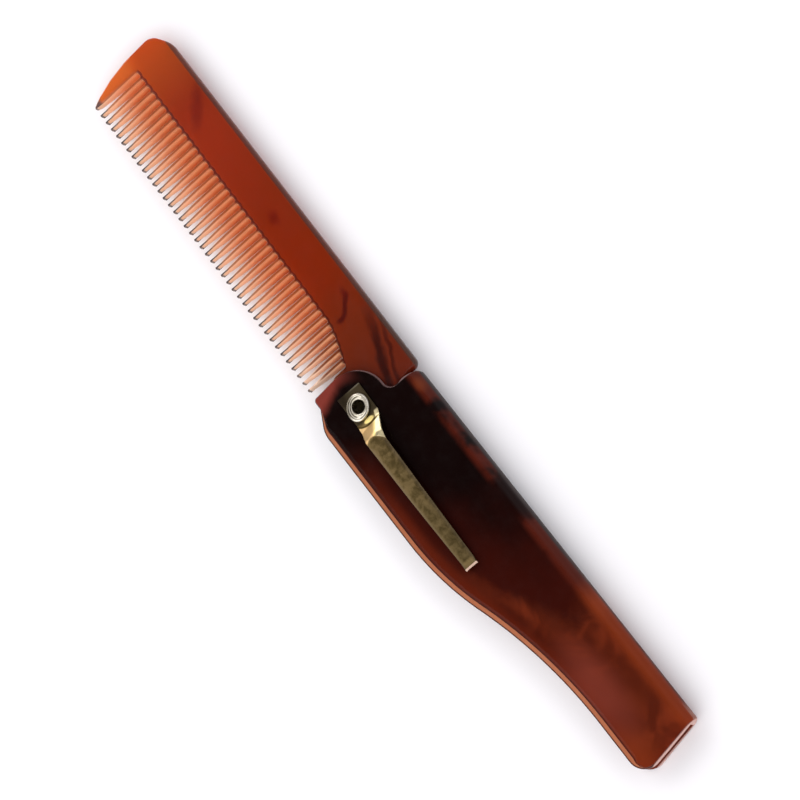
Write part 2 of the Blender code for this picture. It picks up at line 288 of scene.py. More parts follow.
case_line, case_planed, case_bend = case_outline()
print("case outline:", len(case_line), "points")

# %% [markdown]
# The slot and the rivet's hole are carved afterwards, because a channel that is open on
# three sides has no simple stack of its own. The edges get two attributes that the
# finish reads later: the distance in from the outer edge, and the same distance as a share
# of the planed width.

# %% Make the case
WALL = 1.3
CLOSED_WALL = 1.5
BEND_DEPTH = 2.4
HOLE_RADIUS = 1.9
SEAT_RADIUS = 2.95
SEAT_DEPTH = 0.75
FACE_STEP = 0.2


def case_levels():
    """For each level: the cut edge's inset, the share of the planed width, the cut edge's
    height, and the angle round the bend. The bend is half an ellipse in section. The
    first and last ring step in once more, so that the faces beside them stay flat."""
    a = np.radians(np.linspace(0, 90, 5))
    back_inset = EASED_WIDTH * (1 - np.sin(a))
    back_height = EASED_WIDTH * (1 - np.cos(a))
    side = np.array([1.0, 3.0, 4.6, 5.12])
    share = np.array([0.02, 0.1, 0.5, 0.9, 0.98, 1.0])
    height = np.array([5.24, 5.33, 5.63, 5.93, 5.985, 6.0])
    first = [EASED_WIDTH + FACE_STEP]
    inset = np.concatenate((first, back_inset, np.zeros(10), [FACE_STEP]))
    planed = np.concatenate((np.zeros(10), share, [1.0]))
    heights = np.concatenate(([0.0], back_height, side, height, [CASE_THICK]))
    turn = np.radians(np.concatenate(([0], np.linspace(0, 180, len(heights) - 2), [180])))
    return inset, planed, heights, turn


inset, planed, heights, turn = case_levels()
middle = CASE_THICK / 2
edge_in = inset[:, None] + planed[:, None] * case_planed
edge_rings = case_line - outward(case_line) * edge_in[..., None]
bend_in = BEND_DEPTH * (1 - np.sin(turn))
bend_in[[0, -1]] += FACE_STEP
bend_rings = case_line - np.stack((0 * bend_in, bend_in), 1)[:, None, :]
bend_heights = middle - middle * np.cos(turn)
on_bend = case_bend[None, :, None]
flat_rings = edge_rings * (1 - on_bend) + bend_rings * on_bend
ring_heights = heights[:, None] * (1 - case_bend) + bend_heights[:, None] * case_bend
case_rings = np.concatenate((flat_rings, ring_heights[..., None]), 2)
case = stack("case_shell", case_rings, [list(range(len(case_line)))])


def slot_block():
    """A block for the slot, from far outside to the inner side of the closed wall."""
    inner = CLOSED_Y - CLOSED_WALL
    ring = np.array([(-30, -30), (120, -30), (120, inner), (-30, inner)], float)
    rings = np.stack([np.c_[ring, np.full(4, z)] for z in (WALL, CASE_THICK - WALL)])
    return stack("slot_block", rings, [[0, 1, 2, 3]])


rivet_hole = drum("hole", HOLE_RADIUS, -1, CASE_THICK + 1)
rivet_seat = drum("seat", SEAT_RADIUS, -1, SEAT_DEPTH)
carve(case, slot_block(), rivet_hole, rivet_seat)
crease(case, 28)
print("case shell:", len(case.data.polygons), "faces")

# %% Note the distance from the outer edge
places = np.empty(len(case.data.vertices) * 3)
case.data.vertices.foreach_get("co", places)
places = (places.reshape(-1, 3) - RIVET) / MM
start = case_line
step = np.roll(case_line, -1, 0) - start
offset = places[:, None, :2] - start
along = np.clip((offset * step).sum(2) / np.maximum((step**2).sum(1), 1e-9), 0, 1)
gaps = np.linalg.norm(offset - along[..., None] * step, axis=2)
nearest = gaps.argmin(1)
distance = gaps.min(1)
width = np.where(case_bend[nearest] > 0, 0.01, np.maximum(case_planed[nearest], 0.01))
for name, values in (("edge_distance", distance), ("edge_share", distance / width)):
    attribute = case.data.attributes.new(name, "FLOAT", "POINT")
    attribute.data.foreach_set("value", values)
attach(case, "handle")
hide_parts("case")
print("largest edge distance:", round(float(distance.max()), 1), "mm")

# %% [markdown]
# The comb is one plate. Its back is rounded over, and its teeth are cut by a row of thin
# saws and then tapered, both in width and in thickness, so that they enter the hair. One
# tooth with its gap is drawn once as an array and repeated along the row.

# %% Draw one tooth and repeat it
COMB_THICK = 2.8
TIP_THICK = 1.6
BACK_Y = 14.4
PITCH = 1.945
TEETH = 40
LAST_TOOTH_X = -10.5
ROOT_WIDTH = 1.04
TIP_WIDTH = 0.36
TAPER = 2.2
TIPS_Y = -7.0
POINT_LENGTH = 0.9
ROOTS_Y = 5.35
ROOT_BEND_X = -19.5
ROOT_BEND = 0.09
GAP_END = 0.25
GAP_STEPS = 6
SIDE_STEPS = 8
POINT_STEPS = 7


def root_y(x):
    """The gaps' ends lie on a level line, which drops near the heel with the power 1.5
    of the distance past its bend."""
    return ROOTS_Y - ROOT_BEND * np.maximum(0, x - ROOT_BEND_X) ** 1.5


def teeth_row():
    """Each row is a gap's round end and then its tooth, down the left side, round the
    point and up the right side. Also how far each point is from body to tip."""
    x = LAST_TOOTH_X - PITCH * np.arange(TEETH)[::-1, None]
    radius = (PITCH - ROOT_WIDTH) / 2
    a = np.radians(np.linspace(180, 0, GAP_STEPS + 1))[None, :-1]
    root = root_y(x - PITCH / 2) - radius
    next_root = root_y(x + PITCH / 2) - radius
    gap_x = x - PITCH / 2 + radius * np.cos(a)
    gap_y = root + radius * GAP_END * np.sin(a)
    t = np.linspace(0, 1, SIDE_STEPS + 1)[None]
    half = ROOT_WIDTH / 2 + (TIP_WIDTH - ROOT_WIDTH) / 2 * t**TAPER
    left_y = root + (TIPS_Y + POINT_LENGTH - root) * t
    right_y = next_root + (TIPS_Y + POINT_LENGTH - next_root) * t
    b = np.radians(np.linspace(0, 180, POINT_STEPS + 1))[None, 1:-1]
    point_x = x - TIP_WIDTH / 2 * np.cos(b)
    point_y = TIPS_Y + POINT_LENGTH * (1 - np.sin(b)) + 0 * x
    xs = np.concatenate((gap_x, x - half, point_x, x + half[:, ::-1]), 1)
    ys = np.concatenate((gap_y, left_y, point_y, right_y[:, ::-1]), 1)
    roots = np.where(np.arange(ys.shape[1]) < ys.shape[1] - len(t[0]), root, next_root)
    fall = np.clip((roots - ys) / (roots - TIPS_Y), 0, 1)
    return np.stack((xs, ys), 2), fall


teeth, teeth_fall = teeth_row()
print(TEETH, "teeth of", teeth.shape[1], "points each")

# %% [markdown]
# Round the row of teeth go the guard tooth and nose on the left, the back on top, and the
# heel and round tang on the right. Each point has its own edge rounding: large on the
# back and small in the gaps. The teeth keep one rounding down to the tip. Two of it are
# wider than the tip, so the small faces on top of the last 3 mm cross over, unseen.

# %% Draw the comb's outline
GUARD_OUTER = np.array([(-92.22, 5.35), (-92.1, 4.0), (-91.15, -0.8), (-89.95, -4.6)])
GUARD_POINT = np.array([(-89.35, -5.95), (-88.95, -6.65), (-88.5, -6.95)])
NOSE_TOP = (-88.3, BACK_Y)
NOSE_SIDE = (-92.65, 11.75)
HEEL_X = 0.3
HEEL_ROUND = 1.6
LAST_GAP = 0.46
LUG = np.array([(-8.98, 1.0), (-8.9, -0.6), (-8.45, -1.7), (-7.4, -2.1)])
TANG_RADIUS = 6.2
TANG_NECK = np.array([(0.74, 6.6), (0.6, 8.85)])


def guard_tooth():
    """The broad end tooth: its outer side runs down and its inner side up, in pairs."""
    inner_x = teeth[0, 0, 0]
    root = teeth[0, 0, 1]
    outer = np.concatenate((GUARD_OUTER, GUARD_POINT))
    inner_y = np.array([root, 3.6, -0.8, -4.4, -5.9, -6.5, -6.85])[::-1]
    lean = np.array([0, 0.02, 0.08, 0.2, 0.32, 0.42, 0.6])[::-1]
    inner = np.stack((inner_x - lean, inner_y), 1)
    points = np.concatenate((outer, inner))
    fall = np.clip((root - points[:, 1]) / (root - TIPS_Y), 0, 1)
    return points, fall


def comb_outline():
    """The comb's edge, anticlockwise from the heel, with the width of the edge's rounding,
    the fall from body to tip, and a number for each tooth (-1 on the body).
    A small lug between the last gap and the tang keeps that gap as narrow as the rest."""
    heel = arc((HEEL_X - HEEL_ROUND, BACK_Y - HEEL_ROUND), HEEL_ROUND, 0, 90, 10)
    nose_high = corner(heel[-1], NOSE_TOP, NOSE_SIDE, 5.0, 8)
    nose_low = corner(NOSE_TOP, NOSE_SIDE, GUARD_OUTER[0], 2.9, 10)
    guard, guard_fall = guard_tooth()
    last_gap = arc(teeth[-1, -1] + (LAST_GAP, 0.0), LAST_GAP, 180, 0, 8)[1:]
    tang = arc((0, 0), TANG_RADIUS, 194, 443, 60)
    tang = tang[(tang[:, 0] < TANG_NECK[0, 0]) | (tang[:, 1] < 6.0)]
    rows = teeth.reshape(-1, 2)
    after = np.concatenate((last_gap, LUG, tang, TANG_NECK))
    body = np.concatenate((heel, nose_high, nose_low))
    outline = np.concatenate((body, guard, rows, after))
    fall = np.concatenate((0 * body[:, 0], guard_fall, teeth_fall.ravel(), 0 * after[:, 0]))
    share = np.linspace(1, 0.45, len(guard) // 2)
    guard_round = np.concatenate((0.8 * share, np.full(len(guard) // 2, 0.3)))
    in_gap = np.arange(teeth.shape[1]) < GAP_STEPS
    tooth_round = np.tile(np.where(in_gap, 0.2, 0.28), TEETH)
    rounding = np.concatenate(
        (np.full(len(body), 0.8), guard_round, tooth_round, np.full(len(after), 0.15))
    )
    number = np.repeat(np.arange(TEETH), teeth.shape[1])
    number = np.where(np.tile(in_gap, TEETH), -1, number + 1)
    owner = np.concatenate(
        (np.full(len(body), -1), np.zeros(len(guard), int), number, np.full(len(after), -1))
    )
    return outline, rounding, fall, owner


comb_line, comb_round, comb_fall, comb_owner = comb_outline()
print("comb outline:", len(comb_line), "points")

# %% [markdown]
# The flat ends of this stack come in pieces: one face for the body, and a strip of quads
# down each tooth, because a tooth slopes. Left and right points of a tooth pair up from
# the root to the point.

# %% Make the comb
OPEN_ANGLE = np.radians(-0.7)


def comb_ends():
    """Faces in one ring: the body's loop, then quads between each tooth's paired points."""
    body, quads = [], []
    for tooth in range(TEETH + 1):
        own = np.flatnonzero(comb_owner == tooth)
        pairs = len(own) // 2
        left, right = own[:pairs], own[::-1][:pairs]
        quads += np.stack((left[:-1], left[1:], right[1:], right[:-1]), 1).tolist()
        body += [own[0], own[-1]]
    body = np.union1d(np.flatnonzero(comb_owner < 0), body)
    return [body.tolist(), *quads]


a = np.radians(np.linspace(0, 90, 6))
draw_in = np.concatenate((1 - np.cos(a), [1.0]))
lift = np.concatenate((np.sin(a), [1.0]))
hold = np.concatenate((0 * a, [0.04]))
half_thick = COMB_THICK / 2 + (TIP_THICK - COMB_THICK) / 2 * comb_fall**TAPER
round_high = np.minimum(comb_round * 1.5, half_thick * 0.8)
upper_in = draw_in[:, None] * comb_round + hold[:, None]
upper_height = half_thick - round_high + lift[:, None] * round_high
level_in = np.concatenate((upper_in[::-1], upper_in))
level_height = np.concatenate((-upper_height[::-1], upper_height))
flat = comb_line - outward(comb_line) * level_in[..., None]
cosine, sine = np.cos(OPEN_ANGLE), np.sin(OPEN_ANGLE)
turned = flat @ np.array([[cosine, sine], [-sine, cosine]])
comb_rings = np.concatenate((turned, level_height[..., None] + CASE_THICK / 2), 2)
comb = stack("comb_plate", comb_rings, comb_ends())
carve(comb, drum("pivot_hole", HOLE_RADIUS, 0, CASE_THICK))
crease(comb, 50)
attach(comb, "comb")
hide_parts("comb")
print("comb plate:", len(comb.data.polygons), "faces")

# %% [markdown]
# The clip is one strip of brass: a plate under the rivet, a riser, and a long arm that
# comes down to the case and turns up at its tip. A section with small round corners is
# carried along the bent path, and its two edges move in and out as the strip narrows.
#
# The press that made it left three marks, which are added as heights: a short bead on the
# plate beside the rivet, a slanting fold on the riser, and a crown that starts in an arch
# and runs down the arm.

# %% Make the clip
SHEET = 0.5
CLIP_BASE = CASE_THICK + 0.15 + SHEET / 2
CLIP_BENDS = np.array(
    [(-4.0, 0.0), (3.6, 0.0), (7.0, 2.25), (22.0, 1.55), (38.2, 0.15), (39.8, 0.7)]
)
CLIP_RADII = (0.9, 1.1, 60.0, 1.6)
EDGE_X = np.array([-4.0, 2.6, 6.4, 8.7, 22.0, 39.8])
EDGE_LOW = np.array([-2.75, -2.75, -3.05, -3.12, -3.22, -3.2])
EDGE_HIGH = np.array([2.9, 2.75, 1.45, 0.82, 0.36, -0.3])
TIP_BEVEL = 0.28
FOLD_PLACE = (2.71, 1.78)
FOLD_SLOPE = 0.465
ARCH_PLACE = (7.05, -1.55)
ARCH_CURVE = 0.34
CROWN_HEIGHT = 0.17
FOLD_HEIGHT = 0.24
BEAD_HEIGHT = 0.22


def clip_path():
    """The strip's middle line in X and height: straight runs joined by round bends."""
    parts = [CLIP_BENDS[:1] + (0.0, 0.0)]
    for i, radius in enumerate(CLIP_RADII):
        before, here, after = CLIP_BENDS[i : i + 3]
        parts.append(corner(before, here, after, radius, 12))
    parts.append(CLIP_BENDS[-1:])
    return np.concatenate(parts)


def section():
    """An oblong from -1 to 1 both ways, anticlockwise from the right: a quarter arc at each
    corner and evenly spaced points above and below."""
    a = np.radians(np.linspace(0, 90, 5))
    flat = np.linspace(0.945, -0.945, 17)[1:-1]
    right, up = 0.945 + 0.055 * np.cos(a), 0.5 + 0.5 * np.sin(a)
    across = np.concatenate((right, flat, -right[::-1], -right, flat[::-1], right[::-1]))
    level = np.ones(len(flat))
    high = np.concatenate((up, level, up[::-1], -up, -level, -up[::-1]))
    return across, high


def ease(value, start, end):
    """0 at start and 1 at end, with t * t * (3 - 2 * t) between."""
    t = np.clip((value - start) / (end - start), 0, 1)
    return t * t * (3 - 2 * t)


def fold_line(x):
    """Where the slanting fold crosses the riser, for each X."""
    return FOLD_PLACE[1] - FOLD_SLOPE * (x - FOLD_PLACE[0])


def arch_line(y):
    """Where the arm's crown starts, for each Y: a parabola."""
    return ARCH_PLACE[0] + ARCH_CURVE * (y - ARCH_PLACE[1]) ** 2


path = clip_path()
lengths = np.r_[0, np.cumsum(np.linalg.norm(np.diff(path, axis=0), axis=1))]
# Half of the 190 sections go to the riser and the arch, where the strip bends.
even = np.interp(np.linspace(0, 1, 190), [0, 0.1, 0.62, 1], [0, 5.5, 15.0, lengths[-1]])
path = np.stack([np.interp(even, lengths, path[:, i]) for i in (0, 1)], 1)
tangent = np.gradient(path, axis=0)
tangent /= np.linalg.norm(tangent, axis=1)[:, None]
low = np.interp(path[:, 0], EDGE_X, EDGE_LOW)
high = np.interp(path[:, 0], EDGE_X, EDGE_HIGH)
across, thick = section()
along_x = path[:, :1]
clip_y = (low + high)[:, None] / 2 + (high - low)[:, None] / 2 * across
arch_x = arch_line(clip_y)
crown = CROWN_HEIGHT * ease(along_x, arch_x - 0.3, arch_x + 0.5)
crown *= 1 - across**4
folded = ease(along_x, 3.6, 4.6) * (1 - ease(along_x, 6.4, 7.6))
fold = folded * (FOLD_HEIGHT - 0.2 * np.abs(clip_y - fold_line(along_x)))
bead = np.clip(1 - ((along_x - 3.25) / 0.65) ** 2 - (clip_y / 1.15) ** 2, 0, 1)
rise = thick * SHEET / 2 + crown + fold + BEAD_HEIGHT * bead
clip_x = along_x - tangent[:, 1:] * rise
clip_x -= TIP_BEVEL / 2 * (1 + thick) * ease(along_x, 38.9, 39.8)
clip_z = CLIP_BASE + path[:, 1:] + tangent[:, :1] * rise
clip_rings = np.stack((clip_x, clip_y, clip_z), 2)
clip = stack("clip_strip", clip_rings, [list(range(len(across)))])
carve(clip, drum("clip_hole", HOLE_RADIUS, 5.5, 7.5))
crease(clip, 50)
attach(clip, "handle")
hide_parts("clip")
print("clip strip:", len(clip.data.polygons), "faces")

# %% [markdown]
# The rivet is a tube with a flange behind. In front its edge is rolled outwards and down
# on the clip, which leaves a round lip, a groove, and a thinner ring inside. It is a
# profile turned about the axis. The punch struck it askew, so its front part is then
# stretched along one slanting line, drawn in across it, and pushed a little aside.

# %% Make the rivet
CLIP_TOP = CLIP_BASE + SHEET / 2 + 0.15
RIVET_PROFILE = np.array(
    [
        (1.32, 0.1),
        (2.5, 0.1),
        (2.65, 0.25),
        (2.5, 0.45),
        (1.6, 0.45),
        (1.6, 3.0),
        (1.6, CLIP_TOP),
        (2.35, CLIP_TOP),
        (2.55, CLIP_TOP + 0.05),
        (2.65, CLIP_TOP + 0.2),
        (2.63, CLIP_TOP + 0.38),
        (2.54, CLIP_TOP + 0.55),
        (2.4, CLIP_TOP + 0.68),
        (2.22, CLIP_TOP + 0.74),
        (2.05, CLIP_TOP + 0.68),
        (1.94, CLIP_TOP + 0.56),
        (1.87, CLIP_TOP + 0.46),
        (1.79, CLIP_TOP + 0.47),
        (1.72, CLIP_TOP + 0.57),
        (1.62, CLIP_TOP + 0.65),
        (1.51, CLIP_TOP + 0.62),
        (1.41, CLIP_TOP + 0.48),
        (1.35, CLIP_TOP + 0.3),
        (1.32, CLIP_TOP + 0.1),
        (1.32, 3.0),
    ]
)
STRETCH_ALONG = np.array([0.78, -0.625])
STRETCH = 1.11
DRAWN_IN = 0.91
PUSHED_ASIDE = np.array([0.0, -0.22])
CLOSED_SIDE = (0.62, 0.78)


def lathe(name, profile, sides):
    """Turns a closed profile of radius and height about the axis. Above the clip's hole,
    each point is stretched along one line, drawn in across it, and moved as it widens.
    The groove in the lip is pressed shut on one side."""
    a = np.linspace(0, 2 * np.pi, sides, endpoint=False)[:, None]
    radius, height = profile[:, 0], profile[:, 1]
    flat = np.stack((radius * np.cos(a), radius * np.sin(a)), 2)
    across_line = np.array([-STRETCH_ALONG[1], STRETCH_ALONG[0]])
    longer = (flat @ STRETCH_ALONG)[..., None] * STRETCH_ALONG * (STRETCH - 1)
    narrower = (flat @ across_line)[..., None] * across_line * (DRAWN_IN - 1)
    aside = PUSHED_ASIDE * ease(radius, 1.7, 2.3)[:, None]
    struck = ease(height, CLIP_TOP - 0.6, CLIP_TOP)[:, None]
    oval = 0.35 + 0.65 * ease(radius, 1.4, 1.9)[:, None]
    flat = flat + ((longer + narrower) * oval + aside) * struck
    groove = np.clip(1 - ((radius - 1.83) / 0.2) ** 2, 0, 1) * (height > CLIP_TOP)
    towards = CLOSED_SIDE[0] * np.cos(a) + CLOSED_SIDE[1] * np.sin(a)
    closed = 0.2 * groove * ease(towards, -0.3, 0.5)
    points = np.concatenate((flat, (height + closed)[..., None]), 2)
    i, j = np.meshgrid(np.arange(sides), np.arange(len(profile)), indexing="ij")
    k, n = (i + 1) % sides, (j + 1) % len(profile)
    size = len(profile)
    quads = np.stack((i * size + j, k * size + j, k * size + n, i * size + n), 2)
    thing = place_mesh(name, points.reshape(-1, 3), quads.reshape(-1, 4).tolist())
    attribute = thing.data.attributes.new("ring_radius", "FLOAT", "POINT")
    attribute.data.foreach_set("value", np.tile(radius, sides))
    return thing


eyelet = lathe("rivet_tube", RIVET_PROFILE, 72)
crease(eyelet, 60)
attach(eyelet, "handle")
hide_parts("eyelet")
print("rivet tube:", len(eyelet.data.polygons), "faces")

# %% [markdown]
# Finishes are built from nodes. One helper fills a node's inputs, each with a value or a
# link, and the next adds a node, so that a finish reads as a list of steps. Patterns
# read the piece's own coordinates in metres, counted here in millimetres from the rivet.


# %% Helpers for finishes
ACETATE_IOR = 1.48


def fill(tree, node, inputs):
    """inputs maps a socket's name or number to a value or to another node's socket."""
    for key, value in inputs.items():
        if isinstance(value, bpy.types.NodeSocket):
            tree.links.new(value, node.inputs[key])
        else:
            node.inputs[key].default_value = value


def wire(tree, kind, inputs, **options):
    """Adds a node, sets its options and fills its inputs."""
    made = tree.nodes.new("ShaderNode" + kind)
    for option, value in options.items():
        setattr(made, option, value)
    fill(tree, made, inputs)
    return made


def maths(tree, operation, first, second=0.0):
    """One step of arithmetic on two values, each a number or a socket."""
    return wire(tree, "Math", {0: first, 1: second}, operation=operation).outputs[0]


def plus(tree, first, second):
    return maths(tree, "ADD", first, second)


def minus(tree, first, second):
    return maths(tree, "SUBTRACT", first, second)


def between(tree, value, start, end, low=0.0, high=1.0):
    """Goes smoothly from low to high as value goes from start to end."""
    inputs = {"Value": value, "From Min": start, "From Max": end}
    inputs |= {"To Min": low, "To Max": high}
    return wire(tree, "MapRange", inputs, interpolation_type="SMOOTHSTEP").outputs[0]


def mixed(tree, factor, *colours):
    """Mixes two colours, each a socket or red, green and blue. In this node, sockets 6 and
    7 take colours."""
    first, second = [(*c, 1.0) if isinstance(c, tuple) else c for c in colours]
    inputs = {0: factor, 6: first, 7: second}
    return wire(tree, "Mix", inputs, data_type="RGBA").outputs[2]


def cloud(tree, place, size, detail=3.0, rough=0.5, warp=0.0):
    """Noise from 0 to 1 whose lumps are about size millimetres across."""
    inputs = {"Vector": place, "Scale": 1000.0 / size, "Detail": detail}
    inputs |= {"Roughness": rough, "Distortion": warp}
    return wire(tree, "TexNoise", inputs).outputs[0]


def length(tree, first, second):
    """The root of the sum of two squares."""
    squares = [product(tree, value, value) for value in (first, second)]
    return maths(tree, "SQRT", plus(tree, *squares))


def spot(tree, x, y, centre, reach, soft=0.5):
    """1 inside an ellipse round centre and 0 outside. It is the smooth step of the root of
    (x / reach x) squared plus (y / reach y) squared."""
    offsets = [
        maths(tree, "DIVIDE", minus(tree, value, middle), half)
        for value, middle, half in zip((x, y), centre, reach)
    ]
    return between(tree, length(tree, *offsets), 1 + soft, 1 - soft)


def line(tree, value, middle, half):
    """1 where value is at middle, and 0 where it is half away or more."""
    off = maths(tree, "ABSOLUTE", minus(tree, value, middle))
    return between(tree, off, half, half * 0.2)


def product(tree, *factors):
    """All the factors multiplied together."""
    result = factors[0]
    for factor in factors[1:]:
        result = maths(tree, "MULTIPLY", result, factor)
    return result


def swing(tree, noise, amount):
    """Turns noise from 0 to 1 into a shift from -amount to amount."""
    return product(tree, minus(tree, noise, 0.5), 2 * amount)


def new_finish(name):
    """An empty material with a Principled shader, and its place about the rivet."""
    material = bpy.data.materials.new(name)
    material.use_nodes = True
    tree = material.node_tree
    shader = tree.nodes["Principled BSDF"]
    own = wire(tree, "TexCoord", {}).outputs["Object"]
    return material, tree, shader, own


def along_axes(tree, place):
    """X and Y in millimetres from the rivet, and the height."""
    parts = wire(tree, "SeparateXYZ", {"Vector": place}).outputs
    offsets = (*RIVET[:2], 0.0)
    return [
        product(tree, minus(tree, part, float(offset)), 1000.0)
        for part, offset in zip(parts, offsets)
    ]


def let_light_through(tree, shader, amount, tint):
    """Mixes the shader with one that passes soft light, as thin coloured plastic does."""
    through = wire(tree, "BsdfTranslucent", {"Color": tint}).outputs["BSDF"]
    both = wire(tree, "MixShader", {0: amount, 1: shader.outputs["BSDF"], 2: through})
    fill(tree, tree.nodes["Material Output"], {"Surface": both.outputs[0]})


def bump(tree, shader, height, strength, distance):
    """Tilts the shader's normal by a pattern of heights. distance is in metres."""
    inputs = {"Height": height, "Strength": strength, "Distance": distance}
    fill(tree, shader, {"Normal": wire(tree, "Bump", inputs).outputs["Normal"]})


def fine_gloss(tree, own):
    """The roughness of a polished face, in fine lumps."""
    return between(tree, cloud(tree, own, 3.0, 5.0, 0.6), 0.3, 0.7, 0.12, 0.24)


def polish_plastic(tree, shader, own, roughness, reflection):
    """Hand-polished acetate: a roughness, a specular level and a faint ripple."""
    values = {"IOR": ACETATE_IOR, "Specular IOR Level": reflection}
    fill(tree, shader, {"Roughness": roughness, **values})
    bump(tree, shader, cloud(tree, own, 9.0, 2.0), 0.12, 0.0002)


def dress(thing, material):
    thing.data.materials.clear()
    thing.data.materials.append(material)


print("helpers for finishes are ready")

# %% [markdown]
# Tortoiseshell acetate is clear amber plastic with brown clouds poured into it. The case
# is nearly black round the rivet and clears to red-brown at its far end. The bend and the
# open edge are thin, so light comes through and they glow; the glow is painted into the colour.

# %% Finish the case
shell, tree, shader, own = new_finish("dark_tortoiseshell")
x, y, z = along_axes(tree, own)
large = cloud(tree, own, 9.0, 3.0, 0.55, 0.4)
small = cloud(tree, own, 6.0, 4.0, 0.55, 0.8)
streaky = cloud(tree, own, 13.0, 3.0, 0.5, 1.2)
level = maths(tree, "MINIMUM", y, 7.0)
slant = minus(tree, x, product(tree, level, 1.9))
slant = plus(tree, slant, swing(tree, large, 8.0))
dark_part = between(tree, slant, 12.0, 44.0)
dark = mixed(tree, dark_part, (0.004, 0.001, 0.0008), (0.03, 0.003, 0.0014))
mottle = between(tree, streaky, 0.42, 0.6)
red_brown = mixed(tree, mottle, (0.085, 0.0125, 0.0044), (0.18, 0.027, 0.0085))
clearing = between(tree, slant, 43.0, 54.0)
body = mixed(tree, clearing, dark, red_brown)
print("case body: dark to slant 43, clear from 54")

# %% Paint the glow where the case is thin
# Each redder colour below is painted glow, standing in for light coming through thin acetate.
lower_edge = between(tree, x, BELLY_END_X, NECK_START_X, BELLY_Y, NECK_Y)
above_edge = minus(tree, y, lower_edge)
under_arm = product(tree, between(tree, above_edge, 7.5, 3.5), between(tree, x, 3.0, 14.0), 0.7)
body = mixed(tree, under_arm, body, (0.042, 0.005, 0.0022))
by_the_flat = product(tree, between(tree, above_edge, 4.4, 2.2), between(tree, x, 8.0, 26.0), 0.8)
body = mixed(tree, by_the_flat, body, (0.1, 0.012, 0.0036))
patch = between(tree, cloud(tree, own, 7.0, 3.0), 0.33, 0.54)
patch = product(tree, patch, between(tree, line(tree, x, 34.0, 8.0), 1.0, 0.0))
bend_glow = product(tree, between(tree, y, 10.3, 12.0), patch)
body = mixed(tree, bend_glow, body, (0.068, 0.0092, 0.0042))
near_notch = spot(tree, x, y, (4.3, 12.3), (1.5, 0.9), 0.8)
body = mixed(tree, near_notch, body, (0.125, 0.023, 0.007))
far_bend = product(tree, between(tree, x, 54.0, 62.0), between(tree, y, 10.0, 12.6), 0.85)
body = mixed(tree, far_bend, body, (0.24, 0.037, 0.0085))
low_end_glow = product(tree, spot(tree, x, y, (88.0, 1.5), (5.0, 3.0), 0.8), 0.6)
body = mixed(tree, low_end_glow, body, (0.23, 0.036, 0.009))
# A grey-brown line along the bend's outer edge is a painted grazing reflection.
far_half = between(tree, x, 45.0, 60.0)
back_edge_reflection = mixed(tree, far_half, (0.028, 0.0165, 0.015), (0.058, 0.019, 0.013))
past_back = minus(tree, y, between(tree, x, 45.0, 60.0, 13.3, 13.55))
body = mixed(tree, between(tree, past_back, 0.0, 0.3), body, back_edge_reflection)
# A mauve patch near the far end is a painted sheen.
mauve_sheen = product(tree, spot(tree, x, y, (74.0, 3.0), (9.0, 3.4), 0.8), 0.75)
body = mixed(tree, mauve_sheen, body, (0.215, 0.04, 0.0235))
dome_x = minus(tree, x, DOME_CENTRE[0])
dome_y = minus(tree, maths(tree, "MAXIMUM", y, -1.0), DOME_CENTRE[1])
dome_far = plus(tree, length(tree, dome_x, dome_y), swing(tree, small, 0.8))
below = maths(tree, "MAXIMUM", minus(tree, -1.0, y), 0.0)
dome_far = plus(tree, dome_far, product(tree, below, 0.45))
ear = product(tree, between(tree, dome_far, 3.9, 6.9), between(tree, x, -0.5, -4.5))
ear = product(tree, ear, between(tree, y, 4.5, -2.5))
body = mixed(tree, ear, body, (0.185, 0.032, 0.0225))
print("case glow: belly, bend and ear")

# %% Colour the case's edges, with painted highlights on the rim, the planed flat and the cut end
from_edge = wire(tree, "Attribute", {}, attribute_name="edge_distance").outputs["Fac"]
share = wire(tree, "Attribute", {}, attribute_name="edge_share").outputs["Fac"]
front = between(tree, z, 5.15, 5.25)
# A thin light line along the dome's and notch's eased rim is a painted highlight.
rim_highlight = product(tree, between(tree, from_edge, 0.4, 0.15), front, between(tree, y, 1.0, 3.5), 0.85)
body = mixed(tree, rim_highlight, body, (0.2, 0.125, 0.12))
lip = product(tree, between(tree, from_edge, 0.32, 0.16), between(tree, x, 0.0, -3.0))
lip = product(tree, lip, between(tree, y, 4.0, 2.0))
body = mixed(tree, lip, body, (0.018, 0.005, 0.0045))
# On the planed flat a bright salmon band between dark lines is painted highlight, the light the
# flat catches and lets through.
on_flat = product(tree, between(tree, share, 1.02, 0.99), front)
on_flat = product(tree, on_flat, between(tree, x, -5.2, -3.6), between(tree, y, 5.0, 3.0))
edge_tone = mixed(tree, small, (0.36, 0.11, 0.045), (0.51, 0.185, 0.086))
edge_tone = mixed(tree, between(tree, share, 0.56, 0.62), edge_tone, (0.03, 0.0032, 0.0016))
edge_tone = mixed(tree, between(tree, share, 0.7, 0.82), edge_tone, body)
edge_tone = mixed(tree, between(tree, from_edge, 0.36, 0.2), edge_tone, (0.04, 0.013, 0.0085))
body = mixed(tree, on_flat, body, edge_tone)
# At the cut far end the slot's inner face is painted as a mauve sheen and the end's edge as a
# pinkish-white highlight.
end_x = minus(tree, END_LINE[0], product(tree, y, END_LINE[1]))
past_end = minus(tree, x, end_x)
in_slot = between(tree, line(tree, z, CASE_THICK / 2, 1.9), 0.0, 0.2)
inside_end = product(tree, between(tree, past_end, -5.0, -1.0), in_slot)
body = mixed(tree, inside_end, body, (0.3, 0.15, 0.115))
body = mixed(tree, between(tree, past_end, -0.32, -0.12), body, (0.72, 0.48, 0.42))
fill(tree, shader, {"Base Color": body})
print("case edges: rim, planed flat and cut end")

